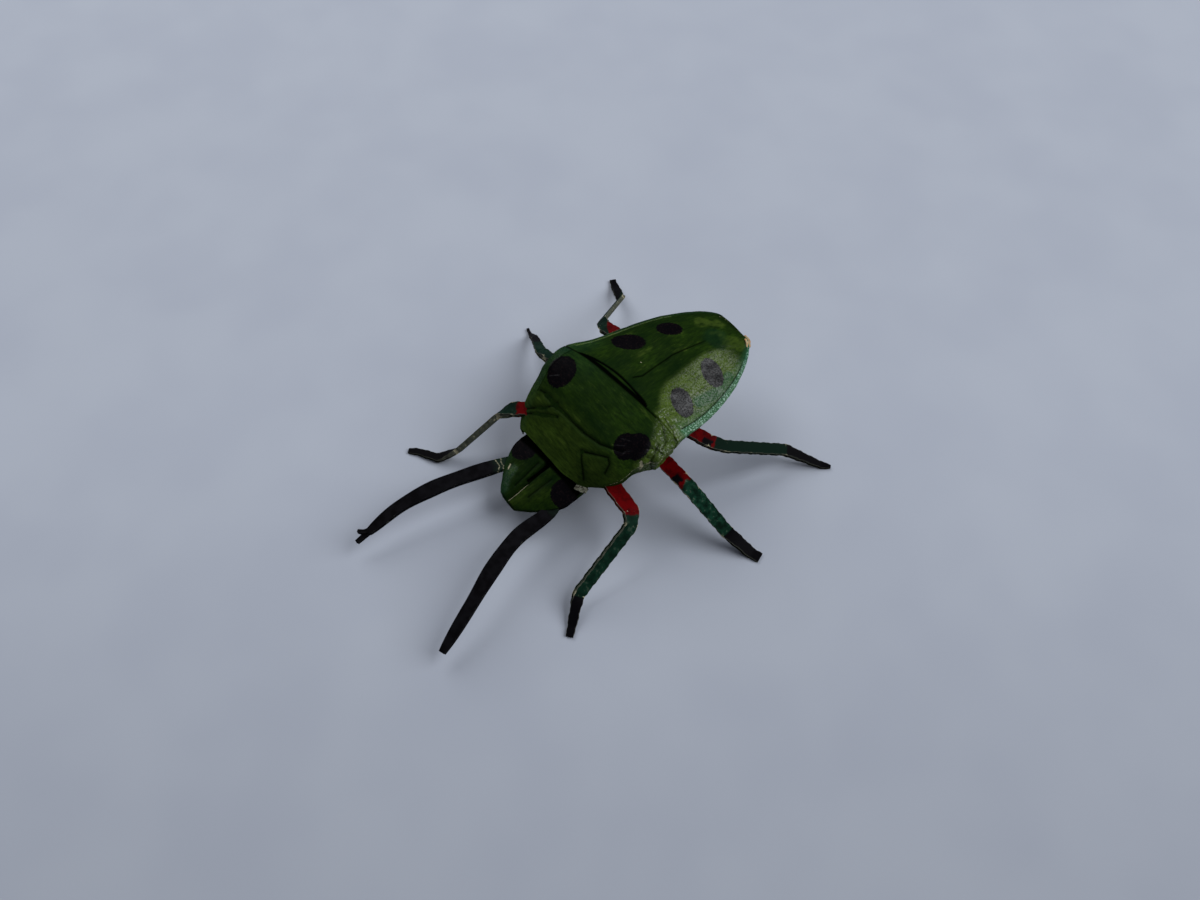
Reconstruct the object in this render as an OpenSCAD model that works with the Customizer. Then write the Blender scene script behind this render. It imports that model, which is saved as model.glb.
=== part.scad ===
// Shield bug folded from one sheet of painted paper, standing on its six feet.
// Millimetres. +Z is up, the head points along -Y and the bug's left side is +X.
// The sheet is one solid: shell, head, legs and antennae run into each other as the folds do.

/* [Paper] */
// Thickness of the back and the belly, where the sheet lies doubled
shell = 0.5; // [0.35:0.05:0.9]
// Thickness of the plate folded over the front of the back
cover = 0.45; // [0.3:0.05:0.7]
// Thickness of the pleat's middle layer
pleat_layer = 0.35; // [0.25:0.05:0.6]
// Air left between the layers of the pleat
pleat_gap = 0.15; // [0.1:0.05:0.4]
// Thickness of a leg, where about a dozen layers lie together
leg_thick = 1.25; // [0.9:0.05:1.8]
// Thickness of an antenna
antenna_thick = 0.95; // [0.7:0.05:1.4]
// Depth of the groove that shows between the layers along a leg's edge
layer_groove = 0.3; // [0.15:0.05:0.5]
// Thickness of the black paint of a spot
paint = 0.1; // [0.06:0.02:0.2]

/* [Head] */
// Length of the head in front of the plate over the back
head_length = 10; // [8:0.2:14]
// Width of the head across the eyes
head_width = 16.6; // [14:0.2:20]
// Width of the blunt tip of the head
head_tip_width = 4.6; // [2:0.2:6]
// Height of the head's top behind the eyes, above the table
head_height = 8.9; // [8:0.1:10]
// Height of the head's tip above the table
head_tip_height = 5.8; // [5:0.1:7.5]
// Depth of the head's folded side at its rear
head_side = 2.2; // [1.6:0.1:3]
// Depth of the crease along the middle of the head
head_crease = 0.7; // [0.3:0.1:1.2]

/* [Back] */
// Length of the plate from its front edge to the pleat
plate_length = 16.6; // [14:0.2:20]
// Width of the plate at its front edge
plate_front_width = 17; // [15:0.5:20]
// Width across the shoulders
shoulder_width = 31.6; // [28:0.2:36]
// Distance from the pleat forward to the shoulders
shoulder_setback = 4.8; // [3:0.2:7]
// Height of the plate's front edge above the table
front_height = 9.6; // [9.2:0.1:11]
// Height of the crease across the plate
crease_height = 15.3; // [13.5:0.1:16.5]
// Distance from the pleat forward to that crease
crease_setback = 10.4; // [8:0.2:12]
// Height of the shoulders above the table
shoulder_height = 16.2; // [14.5:0.1:17]
// Height of the pleat, the highest line of the back
pleat_height = 18.5; // [17.5:0.1:21]
// How far the pleat's line leans back towards the bug's left, in mm for each mm of width
pleat_lean = 0.09; // [0:0.01:0.15]
// Most of the pleat's middle layer that shows behind the plate
pleat_show = 2.2; // [1:0.1:3]
// Depth of the side folded down at the shoulders
shoulder_side = 4.2; // [3:0.1:5.5]
// Depth of the dent in the left side, just in front of the shoulder
left_dent = 1.3; // [0:0.1:2]
// Distance from the pleat forward to that dent
dent_setback = 7; // [5:0.2:9]
// How far the right rim flares out behind the shoulder
right_flare = 1.5; // [0:0.1:2.5]

/* [Abdomen] */
// Length of the abdomen behind the pleat
abdomen_length = 28.2; // [24:0.2:34]
// Width of the abdomen at its widest
abdomen_width = 27.2; // [24:0.2:31]
// Distance from the pleat back to the place where the abdomen's sides begin to close in
waist = 6; // [4:0.5:9]
// Width of the blunt rear edge
rear_width = 7.4; // [5:0.2:10]
// Height of the abdomen's ridge half way along
ridge_height = 17.2; // [16.5:0.1:19]
// Height of the rear edge above the table
rear_height = 14.7; // [14.4:0.1:16]
// Height of the abdomen's rim above the table
rim_height = 14.3; // [13:0.1:14.6]
// Depth of the side folded down along the rim
rim_side = 2.2; // [1.4:0.1:3]
// How far the folded sides lean in below the rim
side_tuck = 0.8; // [0.2:0.1:1.2]
// How far the belly hangs below its edges
belly_sag = 0.8; // [0.4:0.1:1.4]
// Width of the seam where the two belly flaps meet
seam = 0.6; // [0.4:0.1:1]
// Depth of the crease along the ridge
ridge_crease = 0.25; // [0.1:0.05:0.5]

/* [Spots] */
// Length and width of a shoulder spot
shoulder_spot = [6.8, 5.8]; // [3:0.1:7]
// Place of a shoulder spot out from the middle and back from the pleat, and how far it is turned
shoulder_spot_at = [10.2, -6, 45]; // [-10:0.1:60]
// Length and width of the front spot on each side of the abdomen
front_spot = [6.2, 3.7]; // [3:0.1:7]
// Place of that spot out from the middle and back from the pleat, and how far it is turned
front_spot_at = [8.3, 8, 32]; // [0:0.1:60]
// Length and width of the rear spot on each side of the abdomen
rear_spot = [5.6, 3.2]; // [3:0.1:7]
// Place of that spot out from the middle and back from the pleat, and how far it is turned
rear_spot_at = [6.2, 16.9, 27]; // [0:0.1:60]
// Length and width of the black patch over an eye
eye_patch = [4.6, 5]; // [3:0.1:5.5]
// Distance of that patch out from the middle of the head
eye_patch_out = 5.9; // [5:0.1:6.5]

/* [Legs and antennae] */
// Width of a leg at the hip and the knee
leg_width = 2.75; // [2.2:0.05:3.6]
// Width of a leg above its foot
ankle_width = 2.4; // [1.8:0.1:3.2]
// Width of a foot at its end
toe_width = 1.5; // [1:0.1:2.2]
// How far a knee's corner is cut back by its two folds
knee_cut = 1.7; // [1:0.1:2.4]
// Width of an antenna at its middle
antenna_width = 3.1; // [2.4:0.1:4]
// Width of an antenna's tip
antenna_tip_width = 1.3; // [0.9:0.1:2]
// Length of the split in the tip of the right antenna
split_length = 2.6; // [1.5:0.1:4]

/* [Left legs: out, along and up] */
// Left front hip
left_front_hip = [11.4, -11.2, 10]; // [-40:0.1:40]
// Left front knee
left_front_knee = [19, -11.6, 9.2]; // [-40:0.1:40]
// Left front ankle
left_front_ankle = [21.8, -26.9, 2.3]; // [-40:0.1:40]
// Left front toe
left_front_toe = [26.1, -32, 0]; // [-40:0.1:40]
// Left middle hip
left_middle_hip = [13.6, -1, 11.3]; // [-40:0.1:40]
// Left middle knee
left_middle_knee = [20, -0.6, 10.5]; // [-40:0.1:40]
// Left middle ankle
left_middle_ankle = [28.9, 1.7, 3.5]; // [-40:0.1:40]
// Left middle toe
left_middle_toe = [35.3, 4.1, 0]; // [-40:0.1:40]
// Left hind hip
left_hind_hip = [11.8, 6.9, 11.5]; // [-40:0.1:40]
// Left hind knee
left_hind_knee = [16.8, 9.4, 10]; // [-40:0.1:40]
// Left hind ankle
left_hind_ankle = [22.8, 22.3, 3.6]; // [-40:0.1:40]
// Left hind toe
left_hind_toe = [29.5, 28.1, 0]; // [-40:0.1:40]

/* [Right legs: out, along and up] */
// Right front hip
right_front_hip = [-11.2, -13.4, 10.3]; // [-40:0.1:40]
// Right front knee
right_front_knee = [-14.5, -16.6, 9.3]; // [-40:0.1:40]
// Right front ankle
right_front_ankle = [-16.5, -27.5, 2.4]; // [-40:0.1:40]
// Right front toe
right_front_toe = [-23.2, -33.9, 0]; // [-40:0.1:40]
// Right middle hip
right_middle_hip = [-13.4, -1.6, 11.2]; // [-40:0.1:40]
// Right middle knee
right_middle_knee = [-21.3, -3, 8.7]; // [-40:0.1:40]
// Right middle ankle
right_middle_ankle = [-29.2, 0.5, 3.2]; // [-40:0.1:40]
// Right middle toe
right_middle_toe = [-33.7, 1.9, 0]; // [-40:0.1:40]
// Right hind hip
right_hind_hip = [-14.8, 10.6, 11]; // [-40:0.1:40]
// Right hind knee
right_hind_knee = [-20.3, 10.7, 8.7]; // [-40:0.1:40]
// Right hind ankle
right_hind_ankle = [-26.8, 21.6, 3]; // [-40:0.1:40]
// Right hind toe
right_hind_toe = [-33.4, 24.7, 0]; // [-40:0.1:40]

/* [Hidden] */

leaf_green = "#3f5a22";
dark_green = "#1f4a38";
crimson = "#8c1a22";
black = "#1b1a20";
bare_paper = "#c9bf9f";

layers = cover + pleat_gap + pleat_layer;
plate_front = -plate_length;
shoulder_y = -shoulder_setback;
waist_y = waist;
rear_y = abdomen_length;
head_rear = plate_front + 3;
eye_y = plate_front - 2;
head_tip = plate_front - head_length;
trunk_front = plate_front + 1.2;
bury = 0.3;
grain = 0.005;
toe_top = [0, 0, 0.45];

// Which way each leg's thigh and shin face.
left_front_faces = [[0.5, 0, 0.85], [0.5, 0, 0.85]];
left_middle_faces = [[0.3, -0.3, 0.9], [0.3, -0.3, 0.9]];
left_hind_faces = [[0.4, 0.1, 0.9], [0.4, 0.1, 0.9]];
right_front_faces = [[-0.1, -0.3, 0.95], [-0.85, 0, 0.5]];
right_middle_faces = [[-0.1, 0.85, 0.5], [-0.1, 0.85, 0.5]];
right_hind_faces = [[-0.3, -0.1, 0.95], [-0.85, -0.2, 0.5]];

function mix(a, b, t) = a + (b - a) * t;
function clamp(t) = min(1, max(0, t));
function ease(t) = let(c = clamp(t)) c * c * (3 - 2 * c);
function unit(v) = v / norm(v);
function snap(v) = [for (c = v) round(c / grain) * grain];

// A smooth curve through stations [place, value], each with the slope of its neighbours.
function station(s, y, i = 0) = i >= len(s) - 2 || y < s[i + 1][0] ? i : station(s, y, i + 1);
function slope(s, i) =
    let(a = max(0, i - 1), b = min(len(s) - 1, i + 1))
    (s[b][1] - s[a][1]) / (s[b][0] - s[a][0]);
function curve(s, y) =
    let(
        i = station(s, y),
        h = s[i + 1][0] - s[i][0],
        t = clamp((y - s[i][0]) / h),
        a = s[i][1],
        b = s[i + 1][1],
        ta = slope(s, i) * h,
        tb = slope(s, i + 1) * h
    )
    a + t * (ta + t * (3 * (b - a) - 2 * ta - tb + t * (2 * (a - b) + ta + tb)));

// The outline of the back, as half its width at each place along it.
function share(y, from, to) = clamp((y - from) / (to - from));
function width_at(y) =
    y < shoulder_y
        ? mix(plate_front_width, shoulder_width, pow(share(y, plate_front, shoulder_y), 0.75))
    : y < waist_y
        ? mix(abdomen_width, shoulder_width, pow(share(y, waist_y, shoulder_y), 2))
    : mix(rear_width, abdomen_width, pow(1 - pow(share(y, waist_y, rear_y), 1.8), 0.7));
function half_width(y) = width_at(y) / 2;

// The side view: the middle of the plate, the middle of the abdomen, the rim and the side below it.
function plate_crown(y) = curve([
    [plate_front, front_height],
    [-crease_setback, crease_height],
    [shoulder_y, mix(crease_height, pleat_height, 0.78)],
    [0, pleat_height]
], y);
function abdomen_crown(y) = curve([
    [0, pleat_height - layers],
    [waist_y, mix(ridge_height, pleat_height - layers, 0.8)],
    [rear_y * 0.6, ridge_height],
    [rear_y * 0.82, mix(rear_height, ridge_height, 0.62)],
    [rear_y, rear_height]
], y);
function rim(y) = curve([
    [plate_front, front_height - 0.9],
    [shoulder_y, shoulder_height],
    [0, mix(rim_height, shoulder_height, 0.8)],
    [waist_y, mix(rim_height, shoulder_height, 0.15)],
    [rear_y * 0.6, rim_height],
    [rear_y, rim_height]
], y);
function side_depth(y) = curve([
    [plate_front, 1.2],
    [shoulder_y, shoulder_side],
    [waist_y, rim_side],
    [rear_y, rim_side * 0.5]
], y);
function squareness(y) = curve([
    [plate_front, 4],
    [shoulder_y, 6],
    [0, 3.4],
    [waist_y * 2, 2.2],
    [rear_y * 0.8, 1.6],
    [rear_y, 1.6]
], y);
function lean(y) = pleat_lean * (1 - ease(abs(y) / waist_y / 2));

// How far out a point lies: the left side is dented in, and the right rim flares out behind the shoulder.
function bell(t) = exp(-t * t);
function reach(y, s) =
    s * half_width(y)
    - s * s * (s > 0 ? left_dent * bell((y + dent_setback) / 2.2) : right_flare * bell((y - 1.5) / 4.2));
function across_at(y, x) = let(w = half_width(y), s = x / w) s + (s - reach(y, s) / w);

// The pleat's layers lie open from the bug's right to past the middle, and run out on its left.
function pleat_open(s) = 1 - ease((s - 0.05) / 0.4);

// A point of the back at place y and at s across it, from -1 at the right rim to 1 at the left.
function arch(y, s) = 1 - pow(abs(s), squareness(y));
function plate_z(y, s) = mix(rim(y), plate_crown(y), arch(y, s));
function abdomen_z(y, s) =
    mix(rim(y), abdomen_crown(y) + layers * (1 - pleat_open(s)) * (1 - ease(y / waist_y / 1.4)), arch(y, s))
    - ridge_crease * ease((y - 3) / 3) * ease((rear_y - y) / 6) * max(0, 1 - abs(s) * half_width(y) / 0.7);
function under_plate(y, s) =
    max(cover * 0.6, layers * pleat_open(s) * ease((y + crease_setback * 0.7) / 3)) * (y < 0 ? 1 : 0);
function trunk_z(y, s) = y < 0 ? plate_z(y, s) - under_plate(y, s) : abdomen_z(y, s);
function on_back(y, s, z) = let(x = reach(y, s)) [x, y + lean(y) * x, z];

// One ring of the body: the back from rim to rim, the folded sides, then the belly.
back_steps = [1, 0.95, 0.84, 0.68, 0.48, 0.26, 0.05, 0];
across = concat(back_steps, [for (i = [len(back_steps) - 2:-1:0]) -back_steps[i]]);
belly_steps = [-1, -0.6, 0, 0.6, 1];
function belly_z(y, s) = rim(y) - side_depth(y) - belly_sag * (1 - s * s) * ease((rear_y - y) / 5);
function body_ring(y, inset) =
    concat(
        [for (s = across)
            let(x = reach(y, s) - s * inset)
            [x, y + lean(y) * x, trunk_z(y, s) - inset]],
        [for (s = belly_steps)
            let(x = reach(y, s) - s * (side_tuck + inset))
            [x, y + lean(y) * x, belly_z(y, s) + inset]]
    );

// A solid skinned over rings of equal length, closed by a face at each end.
// Seen from the first ring towards the last, each ring runs counter-clockwise.
// Its points lie on a grid of five thousandths of a millimetre.
module skin_rings(rings) {
    n = len(rings[0]);
    last = len(rings) - 1;
    sides = [for (k = [0:last - 1], i = [0:n - 1]) [k * n + i, k * n + (i + 1) % n]];
    polyhedron(
        points = [for (r = rings, q = r) snap(q)],
        faces = concat(
            [for (e = sides) [e[0], e[1], e[1] + n]],
            [for (e = sides) [e[0], e[1] + n, e[0] + n]],
            [[for (i = [n - 1:-1:0]) i]],
            [[for (i = [0:n - 1]) last * n + i]]
        ),
        convexity = 8
    );
}

// A thin plate over a grid of points, hanging down by its thickness.
module plate(rows, thick) {
    m = len(rows);
    n = len(rows[0]);
    skin_rings([for (r = rows) concat(r, [for (i = [n - 1:-1:0]) r[i] - [0, 0, thick]])]);
}

trunk_stations = concat(
    [for (t = [0:0.125:0.9]) mix(trunk_front, -0.5, t)],
    [-0.5, 0.2, 1.5, 3],
    [for (t = [0:0.125:0.99]) mix(waist_y, rear_y, sin(90 * t))],
    [rear_y]
);

// The hollow body: the back, its folded sides and the two belly flaps, with the seam between them.
module trunk() {
    hollow = [for (y = trunk_stations) if (y > trunk_front + shell && y < rear_y - 2) y];
    difference() {
        skin_rings([for (y = trunk_stations) body_ring(y, 0)]);
        skin_rings([for (y = hollow) body_ring(y, shell)]);
        translate([-seam / 2, hollow[1] + 0.4, belly_z(hollow[1], 0) - 3])
            cube([seam, rear_y * 0.7, 5]);
    }
}

// The plate over the front of the back, with its rear edge standing free over the pleat.
module back_plate() {
    plate([for (y = [plate_front, for (t = [0.125:0.125:0.99]) mix(plate_front, 0, t), 0])
        [for (s = across) on_back(y, s, plate_z(y, s))]], cover);
}

// The pleat's middle layer: a crescent that shows behind the plate's edge and is rooted in the shell.
module pleat() {
    span = [0.45, -0.955];
    front = -3.1;
    steps = [for (t = [0:0.1:1.001]) mix(span[0], span[1], t)];
    function shown(s) = pleat_show * sin(180 * (s - span[0]) / (span[1] - span[0])) - pleat_gap;
    function top(y, s) = max(plate_z(min(y, 0), s) - cover - pleat_gap, trunk_z(y, s) - bury / 2);
    skin_rings([for (k = [0:2])
        concat(
            [for (s = steps)
                let(y = mix(front, shown(s), k / 2))
                on_back(y, s, top(y, s))],
            [for (i = [len(steps) - 1:-1:0])
                let(s = steps[i], y = mix(front, shown(s), k / 2))
                on_back(y, s, trunk_z(y, s) - bury)]
        )]);
}

// The head: two folded halves that meet in a crease, with their sides turned down.
function head_half(y) =
    y > eye_y ? head_width / 2
    : mix(head_tip_width, head_width, 1 - pow((eye_y - y) / (eye_y - head_tip), 1.6)) / 2;
function head_z(y, s) =
    let(t = (y - head_tip) / head_length)
    mix(head_tip_height, head_height, t) - 1.1 * pow(abs(s), 2.4) * mix(0.5, 1, t)
    - head_crease * max(0, 1 - abs(s) * head_half(y) / 0.8);
head_steps = [1, 0.93, 0.8, 0.6, 0.4, 0.22, 0.11, 0, -0.11, -0.22, -0.4, -0.6, -0.8, -0.93, -1];
function head_ring(y) =
    let(
        w = head_half(y),
        t = (y - head_tip) / head_length,
        floor_z = head_z(y, 0.3) - 1 - head_side * mix(0.35, 1, t)
    )
    concat(
        [for (s = head_steps) [s * w, y, head_z(y, s)]],
        [for (s = [-1, -0.5, 0.5, 1]) [s * (w - 0.5), y, floor_z + (abs(s) < 1 ? -0.3 : 0)]]
    );
module head() {
    front = [for (t = [0, 0.03, 0.08, 0.15, 0.25, 0.36, 0.5, 0.65, 0.8, 1]) mix(head_tip, eye_y, t)];
    stations = concat(front, [plate_front - 1, plate_front, head_rear]);
    skin_rings([for (y = stations) head_ring(y)]);
}

// A bare corner of the sheet that shows between the head and the plate on the bug's left.
module neck_tab() {
    hull() {
        translate([6.6, plate_front - 0.7, front_height - 1.4]) cube([2.6, 1, 1]);
        translate([7.2, plate_front + 0.5, front_height - 1.2]) cube([2.6, 0.8, 1]);
    }
}

// A crumb of bare paper where the sheet's corner is folded in at the rear edge.
module rear_tip() {
    x = rear_width / 2 + 0.4;
    hull() {
        translate([x, rear_y - 1.45, rim_height - 0.55]) cube([1.1, 0.8, 0.4]);
        translate([x - 1.6, rear_y - 0.6, rim_height - 0.8]) cube([1.6, 1, 0.9]);
    }
}

// A folded strip's section: flat faces, and a groove between the layers along each edge.
function strip_section(w, t) = let(a = w / 2, b = t / 2, g = min(layer_groove, a / 2), lip = t * 0.16) [
    [-a, -b], [a, -b], [a, -lip], [a - g, 0], [a, lip], [a, b], [-a, b], [-a, lip], [-a + g, 0], [-a, -lip]
];
function heading(p, i) =
    let(a = max(0, i - 1), b = min(len(p) - 1, i + 1))
    i == 0 || i == len(p) - 1 ? unit(p[b] - p[a]) : unit(unit(p[b] - p[i]) + unit(p[i] - p[a]));
function strip_ring(p, i, w, t, facing) =
    let(d = heading(p, i), across_it = unit(cross(d, facing)), off = cross(across_it, d))
    [for (q = strip_section(w, t)) p[i] + q[0] * across_it + q[1] * off];

// A bend is folded twice, so a path's corner is cut back to two points.
function cut_back(a, b) = b + unit(a - b) * min(knee_cut, norm(a - b) / 3);
function cut_corner(a, b, c) = [cut_back(a, b), cut_back(c, b)];

// A foot starts inside the end of its leg, and its sole is pressed flat on the table.
module foot(start, toe, way) {
    along = unit([way[0], way[1], 0]);
    beside = cross(along, [0, 0, 1]) * toe_width / 2;
    sole = [toe[0], toe[1], 0];
    corners = [-beside, beside, beside + toe_top, -beside + toe_top];
    hull() {
        skin_rings(start);
        skin_rings([for (p = [-1.1, 0.7]) [for (c = corners) sole + along * p + c]]);
    }
}

// A leg: a folded strip from under the belly out past the rim, down from its knee, to its foot.
// Its thigh and its shin each face their own way, and the strip turns between them in the knee.
module leg(hip, knee, ankle, toe, faces) {
    side = sign(hip[0]);
    root = [side * 1.5, hip[1] * 0.8, belly_z(hip[1] * 0.8, 0) - leg_thick / 2 + bury];
    bend = cut_corner(hip, knee, ankle);
    low_ankle = [ankle[0], ankle[1], max(ankle[2], leg_thick / 2)];
    path = [root, hip, bend[0], bend[1], low_ankle, toe + [0, 0, leg_thick * 0.4]];
    widths = [leg_width, leg_width, leg_width, leg_width, ankle_width];
    rings = [for (i = [0:4]) strip_ring(path, i, widths[i], leg_thick, faces[i < 3 ? 0 : 1])];
    color(crimson) skin_rings([for (i = [0:2]) rings[i]]);
    color(dark_green) skin_rings([for (i = [2:4]) rings[i]]);
    corners = [for (i = [0, 1, 5, 6]) mix(low_ankle, rings[4][i], 0.9)];
    start = [for (t = [0.09, 0.04]) [for (q = corners) q + (bend[1] - low_ankle) * t]];
    color(black) foot(start, toe, toe - ankle);
}

// A smooth path through a few points, for the antennae, which are curved and not creased.
function path_point(p, i, t) =
    let(a = p[max(0, i - 1)], b = p[i], c = p[i + 1], d = p[min(len(p) - 1, i + 2)])
    b + t * ((c - a) / 2 + t * ((a - b * 2.5 + c * 2 - d / 2) + t * ((b - c) * 1.5 + (d - a) / 2)));
function smooth_path(p, steps) = concat(
    [for (i = [0:len(p) - 2], k = [0:steps - 1]) path_point(p, i, k / steps)],
    [p[len(p) - 1]]
);
function antenna_taper(t) = t < 0.5
    ? mix(antenna_width * 0.72, antenna_width, sin(180 * t))
    : mix(antenna_width, antenna_tip_width, pow((t - 0.5) * 2, 2.2));
module antenna(points) {
    path = smooth_path(points, 3);
    last = len(path) - 1;
    skin_rings([for (i = [0:last]) strip_ring(path, i, antenna_taper(i / last), antenna_thick, [0, 0, 1])]);
}

// The points of each antenna, from inside the head to its tip, as seen from the top of the neck.
neck = [0, plate_front, head_height];
left_antenna = [for (p = [
    [4.6, -2, -2.2],
    [6.8, -5.3, -2.4],
    [7.9, -13.2, -1.9],
    [10.3, -20, -2],
    [13.5, -27.4, -3.1],
    [16.4, -35.3, -5.7]
]) neck + p];
right_antenna = [for (p = [
    [-4.6, -2, -2.1],
    [-6.5, -5.7, -2.3],
    [-8.1, -12.7, -1.9],
    [-9.7, -19.9, -2],
    [-10.7, -26.9, -2.9],
    [-10.5, -33.6, -4.4]
]) neck + p];
function tip_of(points) = points[len(points) - 1];

// The right antenna's tip is torn into two prongs.
module split_tip() {
    p = tip_of(right_antenna);
    way = unit(p - right_antenna[len(right_antenna) - 2]);
    for (end = [way * split_length + [-0.3, 0, -0.5], way * split_length * 0.55 + [-1.5, 0, 0.3]])
        hull() {
            translate(snap(p - way * 0.6)) cube([1.1, 1.2, antenna_thick * 0.8], center = true);
            translate(snap(p + end)) cube([0.6, 0.5, antenna_thick * 0.6], center = true);
        }
}

// A painted spot: a thin oval that follows the back, from place y and s across it.
module spot(side, place, size, on_head = false) {
    steps = 16;
    x = side * place[0];
    y = place[1];
    turn = -side * place[2];
    function height(p) =
        let(y = p[1] - lean(p[1]) * p[0], s = across_at(y, p[0]))
        on_head ? head_z(p[1], p[0] / head_half(p[1])) : y < 0 ? plate_z(y, s) : abdomen_z(y, s);
    function rim_point(i, r) =
        let(a = 360 * i / steps, u = r * size[0] / 2 * cos(a), v = r * size[1] / 2 * sin(a))
        [x + u * cos(turn) - v * sin(turn), y + u * sin(turn) + v * cos(turn)];
    function lifted(p, up) = [p[0], p[1], height(p) + up];
    rings = [for (r = [0.1, 0.6, 1]) [for (i = [0:steps - 1]) lifted(rim_point(i, r), paint)]];
    under = [for (r = [1, 0.1]) [for (i = [0:steps - 1]) lifted(rim_point(i, r), -cover / 2)]];
    skin_rings(concat(rings, under));
}

module spots() {
    for (side = [-1, 1]) {
        spot(side, shoulder_spot_at, shoulder_spot);
        spot(side, front_spot_at, front_spot);
        spot(side, rear_spot_at, rear_spot);
        spot(side, [eye_patch_out, eye_y, 0], eye_patch, true);
    }
}

// The middle of the space that the feet, the antennae and the rear edge take up on the table.
toes = [left_front_toe, left_middle_toe, left_hind_toe, right_front_toe, right_middle_toe, right_hind_toe];
toe_ends = [for (t = toes) t + [0, sign(t[1]) * toe_width * 0.6, 0]];
tips = [tip_of(left_antenna) - [0, 0.3, 0], tip_of(right_antenna) - [0, split_length, 0]];
ends = concat(toe_ends, tips, [[0, rear_y, 0]]);
function mid(v) = (min(v) + max(v)) / 2;
centre = [mid([for (e = ends) e[0]]), mid([for (e = ends) e[1]]), 0];

module paper_bug() {
    translate(-centre) {
        color(leaf_green) {
            trunk();
            back_plate();
            pleat();
            head();
        }
        color(bare_paper) {
            neck_tab();
            rear_tip();
        }
        color(black) {
            spots();
            antenna(left_antenna);
            antenna(right_antenna);
            split_tip();
        }
        leg(left_front_hip, left_front_knee, left_front_ankle, left_front_toe, left_front_faces);
        leg(left_middle_hip, left_middle_knee, left_middle_ankle, left_middle_toe, left_middle_faces);
        leg(left_hind_hip, left_hind_knee, left_hind_ankle, left_hind_toe, left_hind_faces);
        leg(right_front_hip, right_front_knee, right_front_ankle, right_front_toe, right_front_faces);
        leg(right_middle_hip, right_middle_knee, right_middle_ankle, right_middle_toe, right_middle_faces);
        leg(right_hind_hip, right_hind_knee, right_hind_ankle, right_hind_toe, right_hind_faces);
    }
}

paper_bug();
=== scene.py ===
# Shield bug folded from one sheet of painted paper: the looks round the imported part.
import math
import bpy
import numpy as np
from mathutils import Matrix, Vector, noise


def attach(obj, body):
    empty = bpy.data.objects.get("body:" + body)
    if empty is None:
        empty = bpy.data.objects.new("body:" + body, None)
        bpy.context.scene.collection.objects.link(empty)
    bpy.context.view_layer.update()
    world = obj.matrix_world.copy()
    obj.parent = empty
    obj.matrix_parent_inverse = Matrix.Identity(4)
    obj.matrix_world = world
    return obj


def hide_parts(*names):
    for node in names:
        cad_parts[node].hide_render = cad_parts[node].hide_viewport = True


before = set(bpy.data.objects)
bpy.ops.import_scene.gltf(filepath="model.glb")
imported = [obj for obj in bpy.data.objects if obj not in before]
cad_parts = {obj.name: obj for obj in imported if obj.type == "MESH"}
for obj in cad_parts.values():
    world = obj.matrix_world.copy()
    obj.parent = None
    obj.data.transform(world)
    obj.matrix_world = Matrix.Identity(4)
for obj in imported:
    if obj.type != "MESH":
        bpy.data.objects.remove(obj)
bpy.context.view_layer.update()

# The plate over the front of the back: one stiff leaf with its front and rear edges folded under.
# It is painted olive green with a brush drawn across it, and thin dark creases show where it was bent.
# Sizes are in millimetres, seen from the middle of the pleat: +Y to the rear, +X to the bug's left.
MM = 0.001
HOME = np.array([0.8, -11.9, 0.0])
FRONT, CREASE, SHOULDER, WAIST, REAR = -16.6, -10.4, -4.8, 6.0, 28.2
PLEAT_TOP, LAYERS, COVER = 18.5, 0.95, 0.45


def ease(t):
    t = np.clip(t, 0, 1)
    return t * t * (3 - 2 * t)


def mix(a, b, t):
    return a + (b - a) * t


def bell(t):
    return np.exp(-t * t)


def through(stations, y):
    """A smooth line through stations (place, value), each with the slope of its neighbours."""
    places, values = np.array(stations, float).T
    k = np.arange(len(places))
    before, after = np.maximum(k - 1, 0), np.minimum(k + 1, len(k) - 1)
    slope = (values[after] - values[before]) / (places[after] - places[before])
    i = np.clip(np.searchsorted(places, y, side="right") - 1, 0, len(k) - 2)
    span = places[i + 1] - places[i]
    t = np.clip((y - places[i]) / span, 0, 1)
    start, end, rise = slope[i] * span, slope[i + 1] * span, values[i + 1] - values[i]
    return values[i] + t * (start + t * (3 * rise - 2 * start - end + t * (start + end - 2 * rise)))


def half_width(y):
    """Half the width of the back at y."""
    to_shoulder = np.clip((y - FRONT) / (SHOULDER - FRONT), 0, 1)
    to_waist = np.clip((WAIST - y) / (WAIST - SHOULDER), 0, 1)
    to_rear = np.clip((y - WAIST) / (REAR - WAIST), 0, 1)
    plate = mix(17, 31.6, to_shoulder ** 0.75)
    middle = mix(27.2, 31.6, to_waist ** 2)
    tail = mix(7.4, 27.2, (1 - to_rear ** 1.8) ** 0.7)
    return np.where(y < SHOULDER, plate, np.where(y < WAIST, middle, tail)) / 2


def rim(y):
    """How high the edge of the back lies at y."""
    heights = [(FRONT, 8.7), (SHOULDER, 16.2), (0, 15.82), (WAIST, 14.585), (REAR * 0.6, 14.3), (REAR, 14.3)]
    return through(heights, y)


def side_depth(y):
    """How far the folded side hangs down at y."""
    return through([(FRONT, 1.2), (SHOULDER, 4.2), (WAIST, 2.2), (REAR, 1.1)], y)


def arch(y, s):
    """The share of the crown's height over the rim, at s across from -1 to 1."""
    squareness = [(FRONT, 4), (SHOULDER, 6), (0, 3.4), (WAIST * 2, 2.2), (REAR * 0.8, 1.6), (REAR, 1.6)]
    return 1 - np.abs(s) ** through(squareness, y)


def plate_z(y, s):
    crown = through([(FRONT, 9.6), (CREASE, 15.3), (SHOULDER, 17.796), (0, PLEAT_TOP)], y)
    return mix(rim(y), crown, arch(y, s))


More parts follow.
